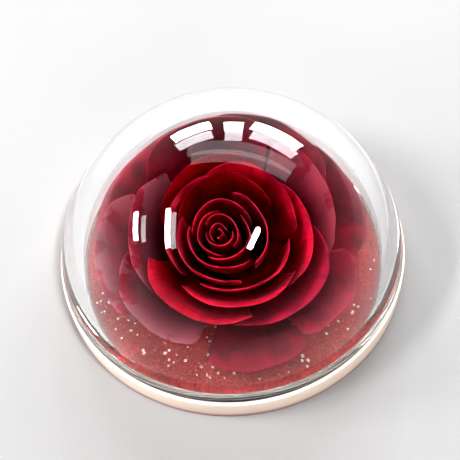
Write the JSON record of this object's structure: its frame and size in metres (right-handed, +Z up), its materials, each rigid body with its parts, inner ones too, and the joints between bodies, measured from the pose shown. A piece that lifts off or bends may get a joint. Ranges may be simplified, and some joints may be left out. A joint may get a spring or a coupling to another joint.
{
  "type": "preserved rose in a glass dome",
  "caption": "Preserved red rose head on a glittering red bed, on a milky round base under a thick clear dome that lifts off.",
  "frame": {"origin": "middle of the base's underside", "axes": "+Z up through the dome's top; -Y towards the side that the rose leans and opens to; +X to its right as seen from there"},
  "size_m": [0.095, 0.095, 0.0489],
  "materials": {
    "dome": "clear, polished",
    "base": "milky, polished",
    "bed": "matte with glittering grains",
    "receptacle": "matte, dried",
    "bud_petals": "velvety",
    "cup_petals": "velvety",
    "outer_petals": "velvety"
  },
  "bodies": {
    "root": {"base": "base", "bed": "bed", "dome": "dome", "receptacle": "receptacle", "bud_petal_1": "bud_petals", "bud_petal_2": "bud_petals", "bud_petal_3": "bud_petals", "bud_petal_4": "bud_petals", "bud_petal_5": "bud_petals", "bud_petal_6": "bud_petals", "bud_petal_7": "bud_petals", "bud_petal_8": "bud_petals", "bud_petal_9": "bud_petals", "cup_petal_1": "cup_petals", "cup_petal_2": "cup_petals", "cup_petal_3": "cup_petals", "cup_petal_4": "cup_petals", "cup_petal_5": "cup_petals", "cup_petal_6": "cup_petals", "cup_petal_7": "cup_petals", "cup_petal_8": "cup_petals", "cup_petal_9": "cup_petals", "outer_petal_1": "outer_petals", "outer_petal_2": "outer_petals", "outer_petal_3": "outer_petals", "outer_petal_4": "outer_petals", "outer_petal_5": "outer_petals", "outer_petal_6": "outer_petals", "outer_petal_7": "outer_petals", "outer_petal_8": "outer_petals", "outer_petal_9": "outer_petals", "outer_petal_10": "outer_petals", "outer_petal_11": "outer_petals"}
  },
  "joints": []
}
